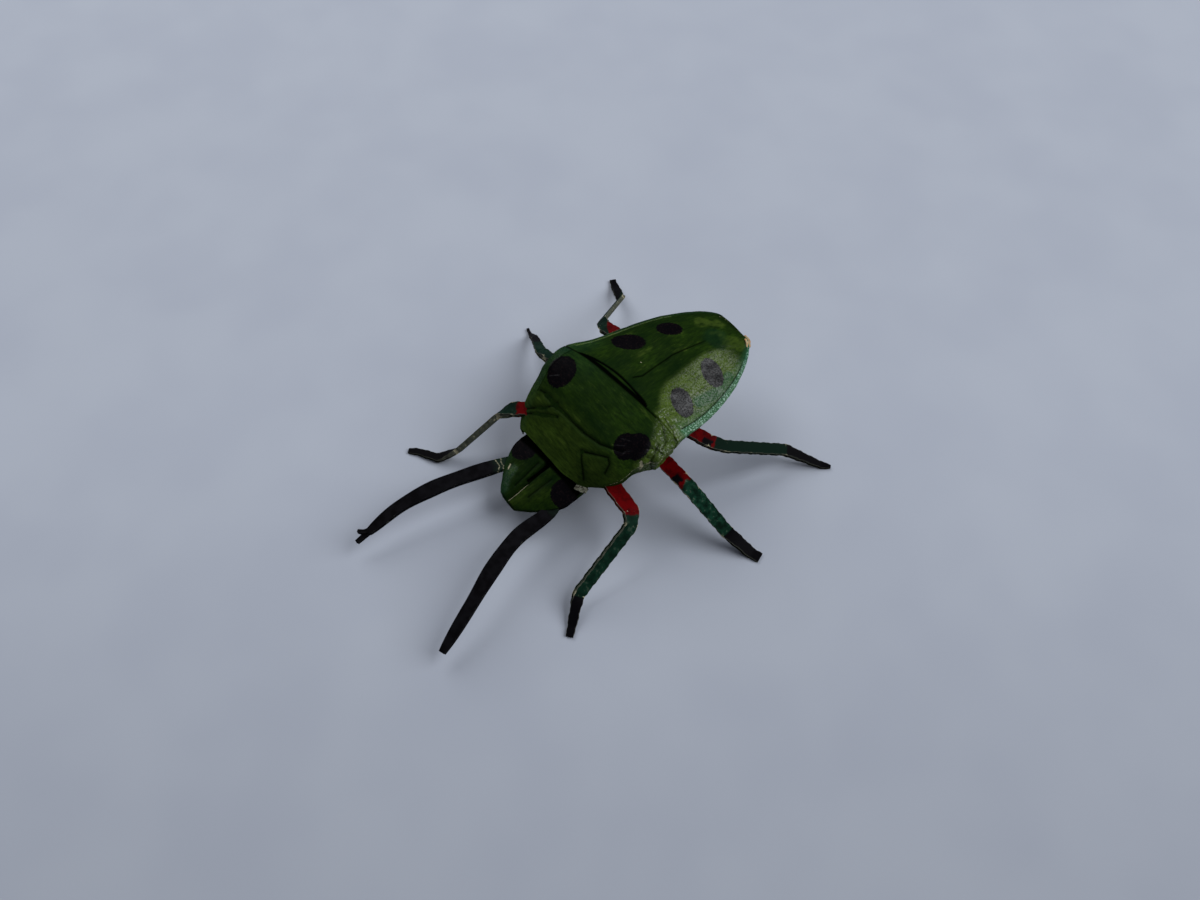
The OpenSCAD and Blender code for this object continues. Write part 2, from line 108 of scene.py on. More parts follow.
def reach(y, s):
    """How far out a point lies, with the dents of the left edge and the flare of the right one."""
    dent = 1.3 * bell((y + 7) / 2.2) + 1.0 * bell((y + 14.6) / 2.6)
    flare = 1.5 * bell((y - 1.5) / 4.2) + 1.2 * ease((-y - 7.5) / 6) - 1.1 * bell((y + 4.6) / 1.7)
    return s * half_width(y) - s * s * np.where(s > 0, dent, flare)


def on_back(y, s, z):
    """Points at place y and s across, set back towards the bug's left as the pleat's line is."""
    x = reach(y, s)
    lean = 0.09 * (1 - ease(np.abs(y) / WAIST / 2))
    corner = 1.0 * ease((s - 0.35) / 0.6) * ease((-y - 12) / 4)
    return np.stack([x, y + lean * x + corner, z + 0 * x], -1)


def away_from(points, line):
    """How far points lie, seen from above, from a line of places (x, y)."""
    best = np.full(points.shape[:-1], 1e9)
    for a, b in zip(line[:-1], line[1:]):
        a, b = np.array(a, float), np.array(b, float)
        t = np.clip(((points[..., :2] - a) @ (b - a)) / ((b - a) @ (b - a)), 0, 1)
        best = np.minimum(best, np.linalg.norm(points[..., :2] - a - t[..., None] * (b - a), axis=-1))
    return best


def ripple(points, size, seed):
    """Smooth noise from about -0.5 to 0.5 with waves of a given size."""
    flat = points.reshape(-1, 3) / size + seed * 7.3
    return np.array([noise.noise(Vector(p)) for p in flat]).reshape(points.shape[:-1])


def outward(points):
    """The normals of a grid whose columns run to the bug's left and whose rows run to the rear."""
    n = np.cross(np.gradient(points, axis=1), np.gradient(points, axis=0))
    return n / np.maximum(np.linalg.norm(n, axis=-1, keepdims=True), 1e-9)


def finish_mesh(obj, name):
    """Makes the object's modifiers final, as a plain mesh."""
    graph = bpy.context.evaluated_depsgraph_get()
    done = bpy.data.meshes.new_from_object(
        obj.evaluated_get(graph), preserve_all_data_layers=True, depsgraph=graph)
    obj.modifiers.clear()
    obj.data = done
    done.name = name


def leaf(name, grid, thick, marks, material):
    """A leaf of paper over a grid of points, whose thickness lies behind it."""
    rows, cols = grid.shape[:2]
    mesh = bpy.data.meshes.new(name)
    k = np.arange(rows * cols).reshape(rows, cols)
    faces = np.stack([k[:-1, :-1], k[:-1, 1:], k[1:, 1:], k[1:, :-1]], -1).reshape(-1, 4)
    mesh.from_pydata(((grid.reshape(-1, 3) - HOME) * MM).tolist(), [], faces.tolist())
    for key, values in marks.items():
        layer = mesh.attributes.new(key, "FLOAT", "POINT")
        layer.data.foreach_set("value", np.broadcast_to(values, (rows, cols)).astype(np.float32).ravel())
    mesh.shade_smooth()
    mesh.materials.append(material)
    obj = bpy.data.objects.new(name, mesh)
    bpy.context.scene.collection.objects.link(obj)
    wall = obj.modifiers.new("thickness", "SOLIDIFY")
    wall.thickness, wall.offset = thick * MM, -1
    wall.use_even_offset = False
    finish_mesh(obj, name)
    part_of_sheet(obj)


def part_of_sheet(obj):
    """Says that the object is part of the one folded sheet."""
    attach(obj, "root")
    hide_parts("paper_bug")


class Wire:
    """A socket of a node tree. Sums and products of wires add the nodes that work them out."""

    def __init__(self, tree, socket=None):
        self.tree, self.socket = tree, socket

    def node(self, kind, settings={}, values={}, out=0):
        made = self.tree.nodes.new(kind)
        for key, value in settings.items():
            setattr(made, key, value)
        for key, value in values.items():
            if isinstance(value, Wire):
                self.tree.links.new(value.socket, made.inputs[key])
            else:
                made.inputs[key].default_value = value
        return Wire(self.tree, made.outputs[out])

    def math(self, operation, *values):
        inputs = dict(enumerate((self,) + values))
        return self.node("ShaderNodeMath", {"operation": operation}, inputs)

    def vector(self, operation, *values, out=0):
        inputs = dict(enumerate((self,) + values))
        return self.node("ShaderNodeVectorMath", {"operation": operation}, inputs, out)

    def scaled(self, by):
        return self.node("ShaderNodeVectorMath", {"operation": "SCALE"}, {0: self, "Scale": by})

    def __add__(self, other):
        return self.math("ADD", other)

    def __mul__(self, other):
        return self.math("MULTIPLY", other)

    def __sub__(self, other):
        return self.math("SUBTRACT", other)

    def __pow__(self, other):
        return self.math("POWER", other)

    def __rsub__(self, other):
        return self * -1 + other

    __radd__, __rmul__ = __add__, __mul__

    def rise(self, low, high):
        """0 below low, 1 above high and smooth between them."""
        smooth = {"interpolation_type": "SMOOTHSTEP"}
        return self.node("ShaderNodeMapRange", smooth, {0: self, 1: low, 2: high})

    def tint(self, under, over):
        """The colour under, covered by the colour over as far as this wire says."""
        return self.node("ShaderNodeMix", {"data_type": "RGBA"}, {0: self, 6: under, 7: over}, out=2)


def colour(code):
    """The linear colour of a hex code."""
    parts = [int(code[i:i + 2], 16) / 255 for i in (0, 2, 4)]
    return tuple(c / 12.92 if c <= 0.04045 else ((c + 0.055) / 1.055) ** 2.4 for c in parts) + (1,)


def new_finish(name):
    """A new material, the place on the object in mm, and the material's shader."""
    material = bpy.data.materials.new(name)
    material.use_nodes = True
    tree = material.node_tree
    start = Wire(tree)
    place = start.node("ShaderNodeTexCoord", out="Object")
    mm = place.vector("MULTIPLY_ADD", (1 / MM,) * 3, tuple(HOME))
    return material, mm, tree.nodes["Principled BSDF"]


def grain(mm, stretch, size, detail=4, rough=0.55):
    """Noise with waves of a given size in mm, drawn out along the axes where stretch is small."""
    place = mm.vector("MULTIPLY", stretch)
    return place.node("ShaderNodeTexNoise", {}, {
        "Vector": place, "Scale": 1 / size, "Detail": detail, "Roughness": rough})


def mark(wire, name):
    """The amount of a mark that a mesh carries."""
    return wire.node("ShaderNodeAttribute", {"attribute_name": name}, out="Fac")


def oval(mm, x, y, length, width, turn, wobble):
    """1 inside a brushed oval spot and 0 outside it."""
    c, s = math.cos(math.radians(turn)), math.sin(math.radians(turn))
    off = mm.vector("SUBTRACT", (x, y, 0))
    u = off.vector("DOT_PRODUCT", (c * 2 / length, s * 2 / length, 0), out="Value")
    v = off.vector("DOT_PRODUCT", (-s * 2 / width, c * 2 / width, 0), out="Value")
    far = (u * u + v * v) ** 0.5 + (wobble - 0.5) * 0.35
    return 1 - far.rise(0.95, 1.03)


OLIVE, MOSS, LEAF, SAP, DEEP, TEAL, INK = map(
    colour, ("23380f", "192b0f", "304a14", "647a30", "0e220d", "2c6049", "020302"))
BLACK_PAINT, BROWN_BLACK, MINT_GLINT = colour("08070a"), colour("1a1213"), colour("96c8ac")
CREAM, TAN = colour("a09a80"), colour("b98a58")


def green_paint(name, stroke, tone, spots):
    """Green paint brushed over paper. stroke stretches the brush marks, spots are black ovals."""
    material, mm, shader = new_finish(name)
    brush = grain(mm, stroke, 0.5, 6, 0.62)
    patch = grain(mm, tuple(0.5 + 0.4 * k for k in stroke), 3.2, 3)
    fleck = grain(mm, (1, 1, 1), 0.35, 3, 0.7)
    fibre = grain(mm, (1, 1, 1), 0.1, 3, 0.65)
    speckle = grain(mm, (1, 1, 1), 0.28, 2, 0.7)
    look = brush.rise(0.3, 0.7).tint(MOSS, OLIVE)
    look = (patch.rise(0.48, 0.7) * brush.rise(0.35, 0.6) * 0.5).tint(look, LEAF)
    look = ((brush * fleck * 4).rise(1.3, 1.9) * 0.3).tint(look, SAP)
    strokes = grain(mm, tuple(0.45 * k for k in stroke), 0.8, 3, 0.6)
    look = ((strokes + patch * 0.3).rise(0.76, 0.9) * 0.28).tint(look, SAP)
    look = (patch.rise(0.52, 0.3) * 0.6).tint(look, DEEP)
    # The light, dark and teal marks carry the paint's own tones, and also painted light, painted shade and
    # painted reflection where the leaves lay them.
    look = (mark(mm, "light") * (0.35 + brush.rise(0.3, 0.6) * 0.5)).tint(look, SAP)
    look = (mark(mm, "dark") * 0.75).tint(look, DEEP)
    look = look.scaled(tone)
    look = (mark(mm, "teal") * (0.4 + brush * 0.5)).tint(look, TEAL)
    # Painted glints: mint flecks over the teal hem, on the same speckles that make its coat shine.
    look = (mark(mm, "teal").rise(0.7, 0.9) * speckle.rise(0.5, 0.66) * 0.55).tint(look, MINT_GLINT)
    covered = oval(mm, *spots[0], fleck)
    for spot in spots[1:]:
        covered = covered.math("MAXIMUM", oval(mm, *spot, fleck))
    covered = covered * (1 - mark(mm, "under"))
    look = covered.tint(look, fleck.rise(0.5, 0.7).tint(BLACK_PAINT, BROWN_BLACK))
    # Ink along the creases and cracks, and painted shadow in the gaps where one leaf runs under another.
    look = mark(mm, "crease").tint(look, INK)
    worn = (mark(mm, "wear") + (fleck - 0.5) * 1.4).rise(0.62, 0.8)
    look = worn.tint(look, CREAM)
    shader.inputs["Coat Roughness"].default_value = 0.36
    shine = speckle.rise(0.43, 0.6)
    shine = shine * (1 - covered) + covered * (shine * 0.55 + 0.3)
    gloss = mark(mm, "gloss") * shine
    gloss = gloss.math("MAXIMUM", brush * 0.04) * (1 - worn) * (1 - mark(mm, "crease"))
    mm.tree.links.new(gloss.socket, shader.inputs["Coat Weight"])
    shader_links(shader, look, mm, 0.5 + fleck * 0.3, brush * 0.5 + fibre * 0.35 + fleck * 0.5)
    return material


def shader_links(shader, look, mm, roughness, height, depth=0.03):
    """Feeds the shader its colour, roughness and relief; depth is that of the relief, in mm."""
    shader.inputs["Specular IOR Level"].default_value = 0.0
    link = mm.tree.links.new
    link(look.socket, shader.inputs["Base Color"])
    link(roughness.socket, shader.inputs["Roughness"])
    bump = mm.node("ShaderNodeBump", {}, {"Strength": 1.0, "Distance": depth * MM, "Height": height})
    link(bump.socket, shader.inputs["Normal"])


plate_paint = green_paint("plate paint", (0.3, 1.2, 1.2), 0.72, [
    (-10.3, -6.0, 6.7, 5.6, -45), (9.6, -6.7, 4.4, 4.6, 30), (10.9, -5.3, 5.0, 4.4, 60)])

PLATE_CREASES = [
    [(-9.3, -10.7), (-5.3, -10.7), (-2.3, -10.6), (1.9, -10.4), (5.9, -9.7), (8.8, -8.5), (10, -7.8)],
    [(4, -12.5), (5.3, -11.9), (7.1, -11), (8.8, -10.1), (9.8, -10.6), (10.1, -11.8)],
    [(4, -12.5), (5.1, -13.3), (7.4, -14.6)],
    [(-11.3, -14), (-7.5, -12.1), (-6, -10.4)],
    [(-10.6, -14.5), (-6.9, -13), (-4.2, -11.7)],
    [(-11.1, -10.6), (-8, -10.5), (-5.6, -10.9)],
]
SCRATCHES = [
    [(7.7, -8.4), (9.5, -6.8)],
    [(8.5, -8.7), (10.4, -7.6)],
    [(8.0, -6.5), (9.4, -5.7)],
    [(9.9, -7.9), (10.9, -6.6)],
    [(-11.4, -8.0), (-9.9, -6.9)],
]
CRACKS = [
    [(8.3, 1), (10.9, 0.7), (13.4, -0.5), (14.2, -2.3)],
    [(9.6, 2.2), (12.3, 2.0), (14.4, 0.9)],
    [(12.3, -4.6), (13.4, -3.2), (14.9, -2.6)],
    [(13.2, -2.2), (14.3, -4.4), (14.6, -6)],
]


def lay(marks, name, amount):
    """Lays an amount of one mark over a leaf, where it is more than what is there."""
    marks[name] = np.maximum(marks[name], amount)


def crumpled(points, marks):
    """The cracked and crumpled corner of the left shoulder."""
    here = ease(1.7 - away_from(points, [(9.6, 3.2), (12.6, 0), (14.2, -3), (14.9, -6.4)]) / 1.7)
    facets = np.abs(ripple(points * [1, 0.45, 1], 1.5, 3))
    lift = here * (0.45 * facets + 0.16 * ripple(points, 0.7, 4))
    for line in CRACKS:
        d = away_from(points, line)
        lift -= 0.2 * bell(d / 0.28) * here
        lay(marks, "crease", 0.75 * bell(d / 0.13) * here)
        lay(marks, "wear", 0.35 * bell((d - 0.25) / 0.2) * here)
    tip = bell(away_from(points, [(13.4, -6.2), (14.6, -6.9)]) / 0.5)
    lay(marks, "wear", np.maximum(0.9 * tip, 0.18 * here))
    # Paler paint over the crumpled corner, with painted light on its raised facets.
    lay(marks, "light", here * (0.55 + 0.6 * facets))
    lay(marks, "gloss", 0.85 * here)
    return lift


def no_marks(points):
    """The marks that the green paint reads, all still at nothing."""
    names = ("light", "dark", "teal", "crease", "wear", "gloss", "under")
    return {name: np.zeros(points.shape[:-1]) for name in names}


SIDE_COLUMNS, TOP_COLUMNS = 14, 210
sides = np.concatenate([-np.ones(SIDE_COLUMNS), np.linspace(-1, 1, TOP_COLUMNS), np.ones(SIDE_COLUMNS)])
down = np.linspace(0.07, 1, SIDE_COLUMNS)
down = np.concatenate([down[::-1], np.zeros(TOP_COLUMNS), down])


def back_grid(places, top, inset=0.0):
    """A grid over the back: across the top, and down the folded sides."""
    y, s = np.meshgrid(places, sides, indexing="ij")
    q = np.broadcast_to(down, y.shape)
    points = on_back(y, s, top(y, s) - side_depth(y) * q)
    points[..., 0] -= s * inset * ease(-y * 3) + np.sign(s) * 0.8 * q
    return points, y, s, q


places = np.linspace(FRONT, 0, 120)
plate, y, s, q = back_grid(places, plate_z)
marks = no_marks(plate)
lift = 0.16 * ripple(plate, 5.5, 1) + 0.06 * ripple(plate, 1.6, 2)
for line, deep in zip(PLATE_CREASES, (0.26, 0.2, 0.16, 0.18, 0.18, 0.14)):
    d = away_from(plate, line)
    lift -= deep * bell(d / 0.35)
    lay(marks, "crease", 0.9 * bell(d / 0.16))
    # Painted shade: a dark band either side of each crease.
    lay(marks, "dark", 0.6 * bell(d / 0.7))
lift += crumpled(plate, marks)
# Painted light: the front of the plate is made paler.
lay(marks, "light", 0.22 * ease((-8 - y) / 4))
for line in SCRATCHES:
    scratch = bell(away_from(plate, line) / 0.1)
    lay(marks, "gloss", 0.8 * scratch)
    lay(marks, "light", 0.6 * scratch)
marks["teal"] = 0.1 * ease((-s - 0.80) * 9) + 0.05 * ease((-s - 0.1) * 2) * ease((y + 7) / 6)
# Painted shadow: the plate's rear edge over the pleat is darkened into a gap line.
lay(marks, "crease", bell(y / 0.2) * (s < 0.62))
lay(marks, "crease", 0.6 * bell((s + 0.86) * half_width(y) / 0.14) * (y > -11))
lay(marks, "gloss", 0.22 * (s < -0.87) * (y > -11))
# Painted shade: the plate darkens towards its rear edge at the pleat.
lay(marks, "dark", 0.45 * ease((y + 9) / 9))
lay(marks, "wear", 0.75 * bell((q - 0.1) / 0.12) * (y > -12) * ease(np.abs(s) * 4 - 3))
plate += outward(plate) * (lift * ease((0 - y) / 0.6 + 0.35))[..., None]
FOLD_RADIUS = 0.15
inward = -FOLD_RADIUS * outward(plate)


def folded_edge(row, way):
    """The rows that turn an edge of the plate under, in a half circle."""
    return [plate[row] + [0, way * FOLD_RADIUS * math.sin(a), 0] + (1 - math.cos(a)) * inward[row]
            for a in (0.8, 1.6, 2.4)]


front_hem = [plate[k] + 2 * inward[k] for k in (16, 8, 2)]
rear_hem = [plate[k] + 2 * inward[k] for k in (-2, -8, -15)]
plate = np.concatenate([front_hem, folded_edge(0, -1)[::-1], plate, folded_edge(-1, 1), rear_hem])
marks = {k: np.concatenate([v[:1]] * 6 + [v] + [v[-1:]] * 6) for k, v in marks.items()}
leaf("plate", plate, 0.12, marks, plate_paint)

# The pleat's middle leaf, a crescent that stands open behind the plate on the bug's right.
# It is the same sheet turned back under the plate, its fold shows as a thin line, and painted shadow darkens
# it next to the plate.
OPEN_FROM, OPEN_TO = 0.43, -0.80
open_places = np.linspace(OPEN_FROM, OPEN_TO, 150)


def shown(s):
    """How far the crescent reaches out behind the plate."""
    along = np.clip((s - OPEN_FROM) / (OPEN_TO - OPEN_FROM), 0, 1)
    return 1.75 * np.sin(np.pi * along) ** 0.7 - 0.15


y = np.array([mix(-2.6, shown(open_places[::-1]), t) for t in np.linspace(0, 1, 40)])
s = np.broadcast_to(open_places[::-1], y.shape)
pleat = on_back(y, s, plate_z(np.minimum(y, 0), s) - 0.66 - 0.03 * np.maximum(y, 0))
pleat_marks = no_marks(pleat)
# A dark line along the crescent's fold, and painted shadow where the crescent runs under the plate.
pleat_marks["crease"] = np.maximum(0.8 * bell((y - shown(s)) / 0.12), ease(4.0 - y / 0.3))
pleat += outward(pleat) * (0.10 * ripple(pleat, 2.4, 9))[..., None]
leaf("pleat", pleat, 0.3, pleat_marks, plate_paint)

# The body behind the plate: the ridged back, its folded sides, and the two belly flaps in one leaf.
# Brush marks run along the body, the left flank is glossy with painted light on its facet, and the rear edge
# is folded blunt.
abdomen_paint = green_paint("abdomen paint", (1.2, 0.28, 1.2), 0.68, [
    (-8.6, 8.5, 6.9, 4.6, 35),
    (-6.3, 16.8, 5.3, 4.0, 30),
    (8.3, 7.5, 6.0, 4.1, -20),
    (6.5, 16.5, 6.1, 4.1, -17),
])
HEM_START, FLAP_COLUMNS = 0.905, 14
FLANK = [(1.5, 7.9), (4, 5.6), (6.6, 4.0), (10.2, 3.5), (13.9, 3.1), (17.7, 2.8), (21.3, 3.3), (26.8, 4.6)]


def flank_start(y):
    """How far across the left flank's flat facet starts, as a share of half the width."""
    return through(FLANK, np.clip(y, 1.5, 26.8)) / half_width(y)


def rounded_z(y, s):
    crown = through([(0, 17.55), (WAIST, 17.48), (REAR * 0.6, 17.2), (REAR * 0.82, 16.25), (REAR, 14.7)], y)
    shut = ease((s - 0.05) / 0.4)
    return mix(rim(y), crown + LAYERS * shut * (1 - ease(y / WAIST / 1.4)), arch(y, s))


def abdomen_z(y, s):
    start = flank_start(y)
    down = np.clip((s - start) / (1 - start), 0, 1)
    flat = mix(rounded_z(y, start), rim(y), down)
    facet = 0.85 * ease(y / 3) * ease((REAR - y) / 3) * (s > start)
    ridge = 0.07 * np.maximum(0, 1 - np.abs(s) * half_width(y) / 0.3)
    ridge = ridge * ease((y - 3) / 3) * ease((REAR - y) / 6)
    return mix(rounded_z(y, s), flat, facet) - ridge


def body_z(y, s):
    shut = ease((s - 0.05) / 0.4)
    sunk = np.maximum(COVER * 0.6, LAYERS * (1 - shut) * ease((y + 7.28) / 3))
    return np.where(y < 0.1, plate_z(y, s) - sunk, abdomen_z(y, s))


places = [np.linspace(-15.4, -1.4, 16), np.linspace(-0.9, 0.7, 9), np.linspace(0.9, REAR, 156)]
places = np.concatenate(places)
back, y, s, q = back_grid(places, body_z, inset=0.3)
marks = no_marks(back)
lift = (0.20 * ripple(back, 6, 11) + 0.07 * ripple(back, 1.8, 12)) * ease(y / 2)
lift += crumpled(back, marks) * ease((y + 0.5) / 0.8)
fold = [(-0.9, 3.4), (-0.1, 5), (-0.3, 8.9), (-0.4, 12.6), (0.1, 16.4), (0.5, 19.9)]
lay(marks, "crease", 0.95 * bell(away_from(back, fold) / 0.16) * ease((23 - y) / 6))
for line, deep in (([(8.8, 2.9), (10.9, 3.4), (12.7, 3.8)], 0.2), ([(1.5, 20), (3.3, 22.1), (4.6, 25)], 0.1)):
    lift -= deep * bell(away_from(back, line) / 0.35)
# Painted shadow: a dark line on the body just behind the crescent's edge.
behind = (y - shown(s)) * (s < OPEN_FROM) * (s > OPEN_TO)
lay(marks, "crease", bell(np.maximum(behind - 0.45, 0) / 0.16) * (behind != 0) * (y > -1))
lay(marks, "crease", 0.85 * bell((s - HEM_START) * half_width(y) / 0.13) * (y > 2.9) * (y < 23))
flank = ease((s - flank_start(y)) * half_width(y) / 1.9 + 0.45) * (y > 0.5)
marks["gloss"] = np.maximum(flank * ease((25 - y) / 4), (s > HEM_START) * (y > 0.5) * 1.0)
low = ease(1.8 - away_from(back, [(9.8, 10.5), (10.2, 15), (8.8, 19)]) / 0.9)
# Painted light: the flat facet of the left flank is made paler, less so on its darker patch.
lay(marks, "light", flank * (0.78 - 0.35 * low) * ease((25 - y) / 5))
uneven = 1.2 * ripple(back, 1.6, 14)
bright = away_from(back, [(-4.4, 22.9), (-1.4, 25.9)]) + uneven
lay(marks, "light", 0.36 * ease(1.9 - bright / 0.8))
bright = away_from(back, [(2.8, 23.6), (3.9, 25.6)]) + uneven
lay(marks, "light", 0.3 * ease(2 - bright / 1.1))
blotch = ease(2.2 - (np.hypot(back[..., 0] - 0.8, back[..., 1] - 22.2) + uneven) / 1.5)
marks["dark"] = np.maximum(0.8 * blotch, 0.5 * ease(-s * 4 - 2.2) * ease((y - 8) / 5))
# Painted shade: the top of the back beside the left flank's facet is made darker.
lay(marks, "dark", 0.35 * ease(s * 8 + 1) * (1 - flank) * ease((20 - y) / 8))
from_right = (s + 1) * half_width(y)
bluish = np.maximum(0.5 * ease((s - 0.70) * 4), 0.5 * low)
marks["teal"] = np.where(s > HEM_START, 0.95, bluish) * ease((y - 0.8) / 2.4)
# Painted reflection: a bluish tint along the right rim and over the front of the right side; the blotch gets
# a little teal paint.
lay(marks, "teal", np.maximum(0.07 * blotch, 0.12 * (from_right < 0.75) * (y > 0)))
lay(marks, "teal", 0.14 * ease(1 - from_right / 5) * ease((y + 1) / 2) * ease((8 - y) / 5))
# Painted highlight: a pale line along the fold of the right rim, which is also glossier.
pale = bell((from_right - 0.85) / 0.16) * (y > 1.5) * (y < 20)
lay(marks, "light", pale)
lay(marks, "gloss", np.maximum(pale, 0.25 * (from_right < 0.8) * (y > 0)))
# Worn paint along the rear edge, and painted shade darkening it.
rear_edge_wear_and_shade = bell(away_from(back, [(-3.6, 27.6), (1.2, 28)]) / 0.7)
lay(marks, "wear", 0.5 * rear_edge_wear_and_shade)
lay(marks, "crease", 0.35 * rear_edge_wear_and_shade)
lay(marks, "wear", 1.1 * bell(away_from(back, [(-2.85, 6.8), (-2.7, 6.8)]) / 0.12))
lay(marks, "wear", 0.6 * bell((s + 1) * half_width(y) / 0.2) * bell(q / 0.2) * (y > 0))
lay(marks, "wear", 0.85 * bell((q - 1) / 0.06))
lay(marks, "wear", 0.55 * bell((REAR - y) / 0.3))
back += outward(back) * lift[..., None]


def with_belly(back, marks, y):
    """Adds the flaps folded under the body, from each side's hem to the seam in the middle."""
    flaps = []
    for side, edge in ((0, back[:, 0]), (1, back[:, -1])):
        across = np.linspace(0.03, 1, FLAP_COLUMNS)[None, :, None]
        slit = (0.32 if side else -0.32) * ease((REAR - 0.4 - edge[:, 1]) / 1.5)
        to_seam = np.stack([slit, edge[:, 1], edge[:, 2]], -1)
        flap = mix(edge[:, None], to_seam[:, None], across)
        sag = 0.8 * (1 - (1 - across[..., 0]) ** 2) * ease((REAR - y[:, :1]) / 5)
        flap[..., 2] -= sag - 0.12 * ripple(flap, 3, 20 + side)
        flaps.append(flap)
    wide = {k: np.pad(v, ((0, 0), (FLAP_COLUMNS, FLAP_COLUMNS))) for k, v in marks.items()}
    wide["dark"][:, :FLAP_COLUMNS] = wide["dark"][:, -FLAP_COLUMNS:] = 0.45
    wide["under"][:, :FLAP_COLUMNS] = wide["under"][:, -FLAP_COLUMNS:] = 1
    wide["wear"][:, 0] = wide["wear"][:, -1] = 0.8
    return np.concatenate([flaps[0][:, ::-1], back, flaps[1]], 1), wide


body, marks = with_belly(back, marks, y)
middle = body[-1, :, 2].mean()
shut = [body[-1] * [mix(1, 0.97, t), 1, 1 - t] + [0, 0.05 * t, middle * t] for t in (0.5, 0.98)]
body = np.concatenate([body, shut])
marks = {k: np.concatenate([v, v[-1:], v[-1:]]) for k, v in marks.items()}
leaf("body", body, 0.16, marks, abdomen_paint)

# The head: two folded halves that meet in a deep crease, with a slit of bare paper at its front.
# Its sides are turned down and under, and a black patch is painted over each eye.
head_paint = green_paint("head paint", (1.1, 0.35, 1.1), 0.55, [
    (-6.0, -18.2, 5.4, 5.2, 20), (6.3, -18.3, 5.2, 5.0, -20)])
TIP, EYES = -26.6, -18.6
HEAD_CREASES = [
    ([(0, -16.7), (-0.1, -19.5), (-0.2, -21.7)], 0.4, 1.3),
    ([(-1.6, -18.4), (-1.2, -24)], 0.16, 0.75),
    ([(2.7, -18.6), (2.4, -23.6)], 0.16, 0.7),
    ([(0.35, -17.4), (0.1, -22.2)], 0.1, 0.8),
]


def head_half(y):
    return mix(4.6, 16.6, 1 - np.clip((EYES - y) / (EYES - TIP), 0, 1) ** 1.6) / 2


def head_z(y, s):
    t = (y - TIP) / (FRONT - TIP)
    dip = 0.7 * np.maximum(0, 1 - np.abs(s) * head_half(y) / 0.7)
    return mix(5.8, 8.9, t) - 1.1 * np.abs(s) ** 2.4 * mix(0.5, 1, t) - dip


places = mix(TIP, -14.2, np.linspace(0, 1, 130) ** 1.35)
y, s = np.meshgrid(places, np.linspace(-1, 1, 161), indexing="ij")
head = np.stack([s * head_half(y), y, head_z(y, s)], -1)
HEAD_SIDE, HEAD_BELLY, LEAN_IN = 9, 10, 0.5
FOLDED = HEAD_SIDE + HEAD_BELLY


def folded_down(edge, sign):
    """The columns that go down a side of the head and then to the middle under it."""
    floor_z = head_z(places, 0.3) - 1.05 - 2.2 * mix(0.35, 1, (places - TIP) / (FRONT - TIP))
    columns = []
    for k in np.linspace(0.1, 1, HEAD_SIDE):
        columns.append([edge[:, 0] - sign * LEAN_IN * k, places, mix(edge[:, 2], floor_z, k)])
    for k in np.linspace(0.1, 1, HEAD_BELLY):
        under_z = floor_z - 0.3 * math.sin(k * 1.5)
        columns.append([mix(edge[:, 0] - sign * LEAN_IN, 0, k), places, under_z])
    return np.array(columns).transpose(2, 0, 1)


right, left = folded_down(head[:, 0], -1)[:, ::-1], folded_down(head[:, -1], 1)
head_marks = no_marks(head)
lift = 0.14 * ripple(head, 3, 31) + 0.05 * ripple(head, 1, 32)
for line, deep, dark in HEAD_CREASES:
    d = away_from(head, line)
    lift -= deep * bell(d / 0.3)
    lay(head_marks, "crease", dark * bell(d / 0.16))
    # Painted shade: a dark band either side of each crease.
    lay(head_marks, "dark", 0.7 * bell(d / 0.8))
slit = away_from(head, [(0.3, -22), (0.1, -26.4)])
lay(head_marks, "wear", 1.5 * bell(slit / 0.13))
lift -= 0.12 * bell(slit / 0.2)
bluish = bell((s + 1) * head_half(y) / 1.1) * ease((-19.5 - y) / 1.5)
facet = ease(1.4 - away_from(head, [(-4.2, -22.6), (-3.6, -24.6), (-2.4, -25.9)]) / 1.1)
head_marks["teal"] = np.maximum(0.12 * bluish, 0.2 * facet)
head_marks["gloss"] = 0.3 * facet
head_marks["light"] = 0.2 * bell((s * 8 - 3) / 2) * ease((-19 - y) / 2)
# Painted shadow: the head's rear strip, under the plate's front edge, is darkened.
shadow_under_plate = ease((y - 0.06 * head[..., 0] + 17.6) / 0.5)
lay(head_marks, "crease", shadow_under_plate)
chip = away_from(head, [(-5.3, -22.2), (-4.8, -23)])
lay(head_marks, "wear", 0.85 * bell(chip / 0.3))
head += outward(head) * lift[..., None]
head = np.concatenate([right, head, left], 1)
head_marks = {k: np.pad(v, ((0, 0), (FOLDED, FOLDED))) for k, v in head_marks.items()}
head_marks["teal"][:, :FOLDED] = 0.1
head_marks["under"][:, :HEAD_BELLY] = head_marks["under"][:, -HEAD_BELLY:] = 1
middle = head[0, :, 2].mean()
nose = [head[0] * [1 - 0.04 * t, 1, 1 - t] + [0, -0.06 * t, middle * t] for t in (0.98, 0.5)]
head = np.concatenate([nose, head])
head_marks = {k: np.concatenate([v[:1], v[:1], v]) for k, v in head_marks.items()}
leaf("head", head, 0.14, head_marks, head_paint)


# Six legs, each one strip of about a dozen leaves, folded twice at the knee and pressed flat at the foot.
# The strip is painted crimson at the hip, dark green on the shin and black at the foot, and its cut
# edges and its bends show bare paper.
def unit(v):
    return v / np.linalg.norm(v)


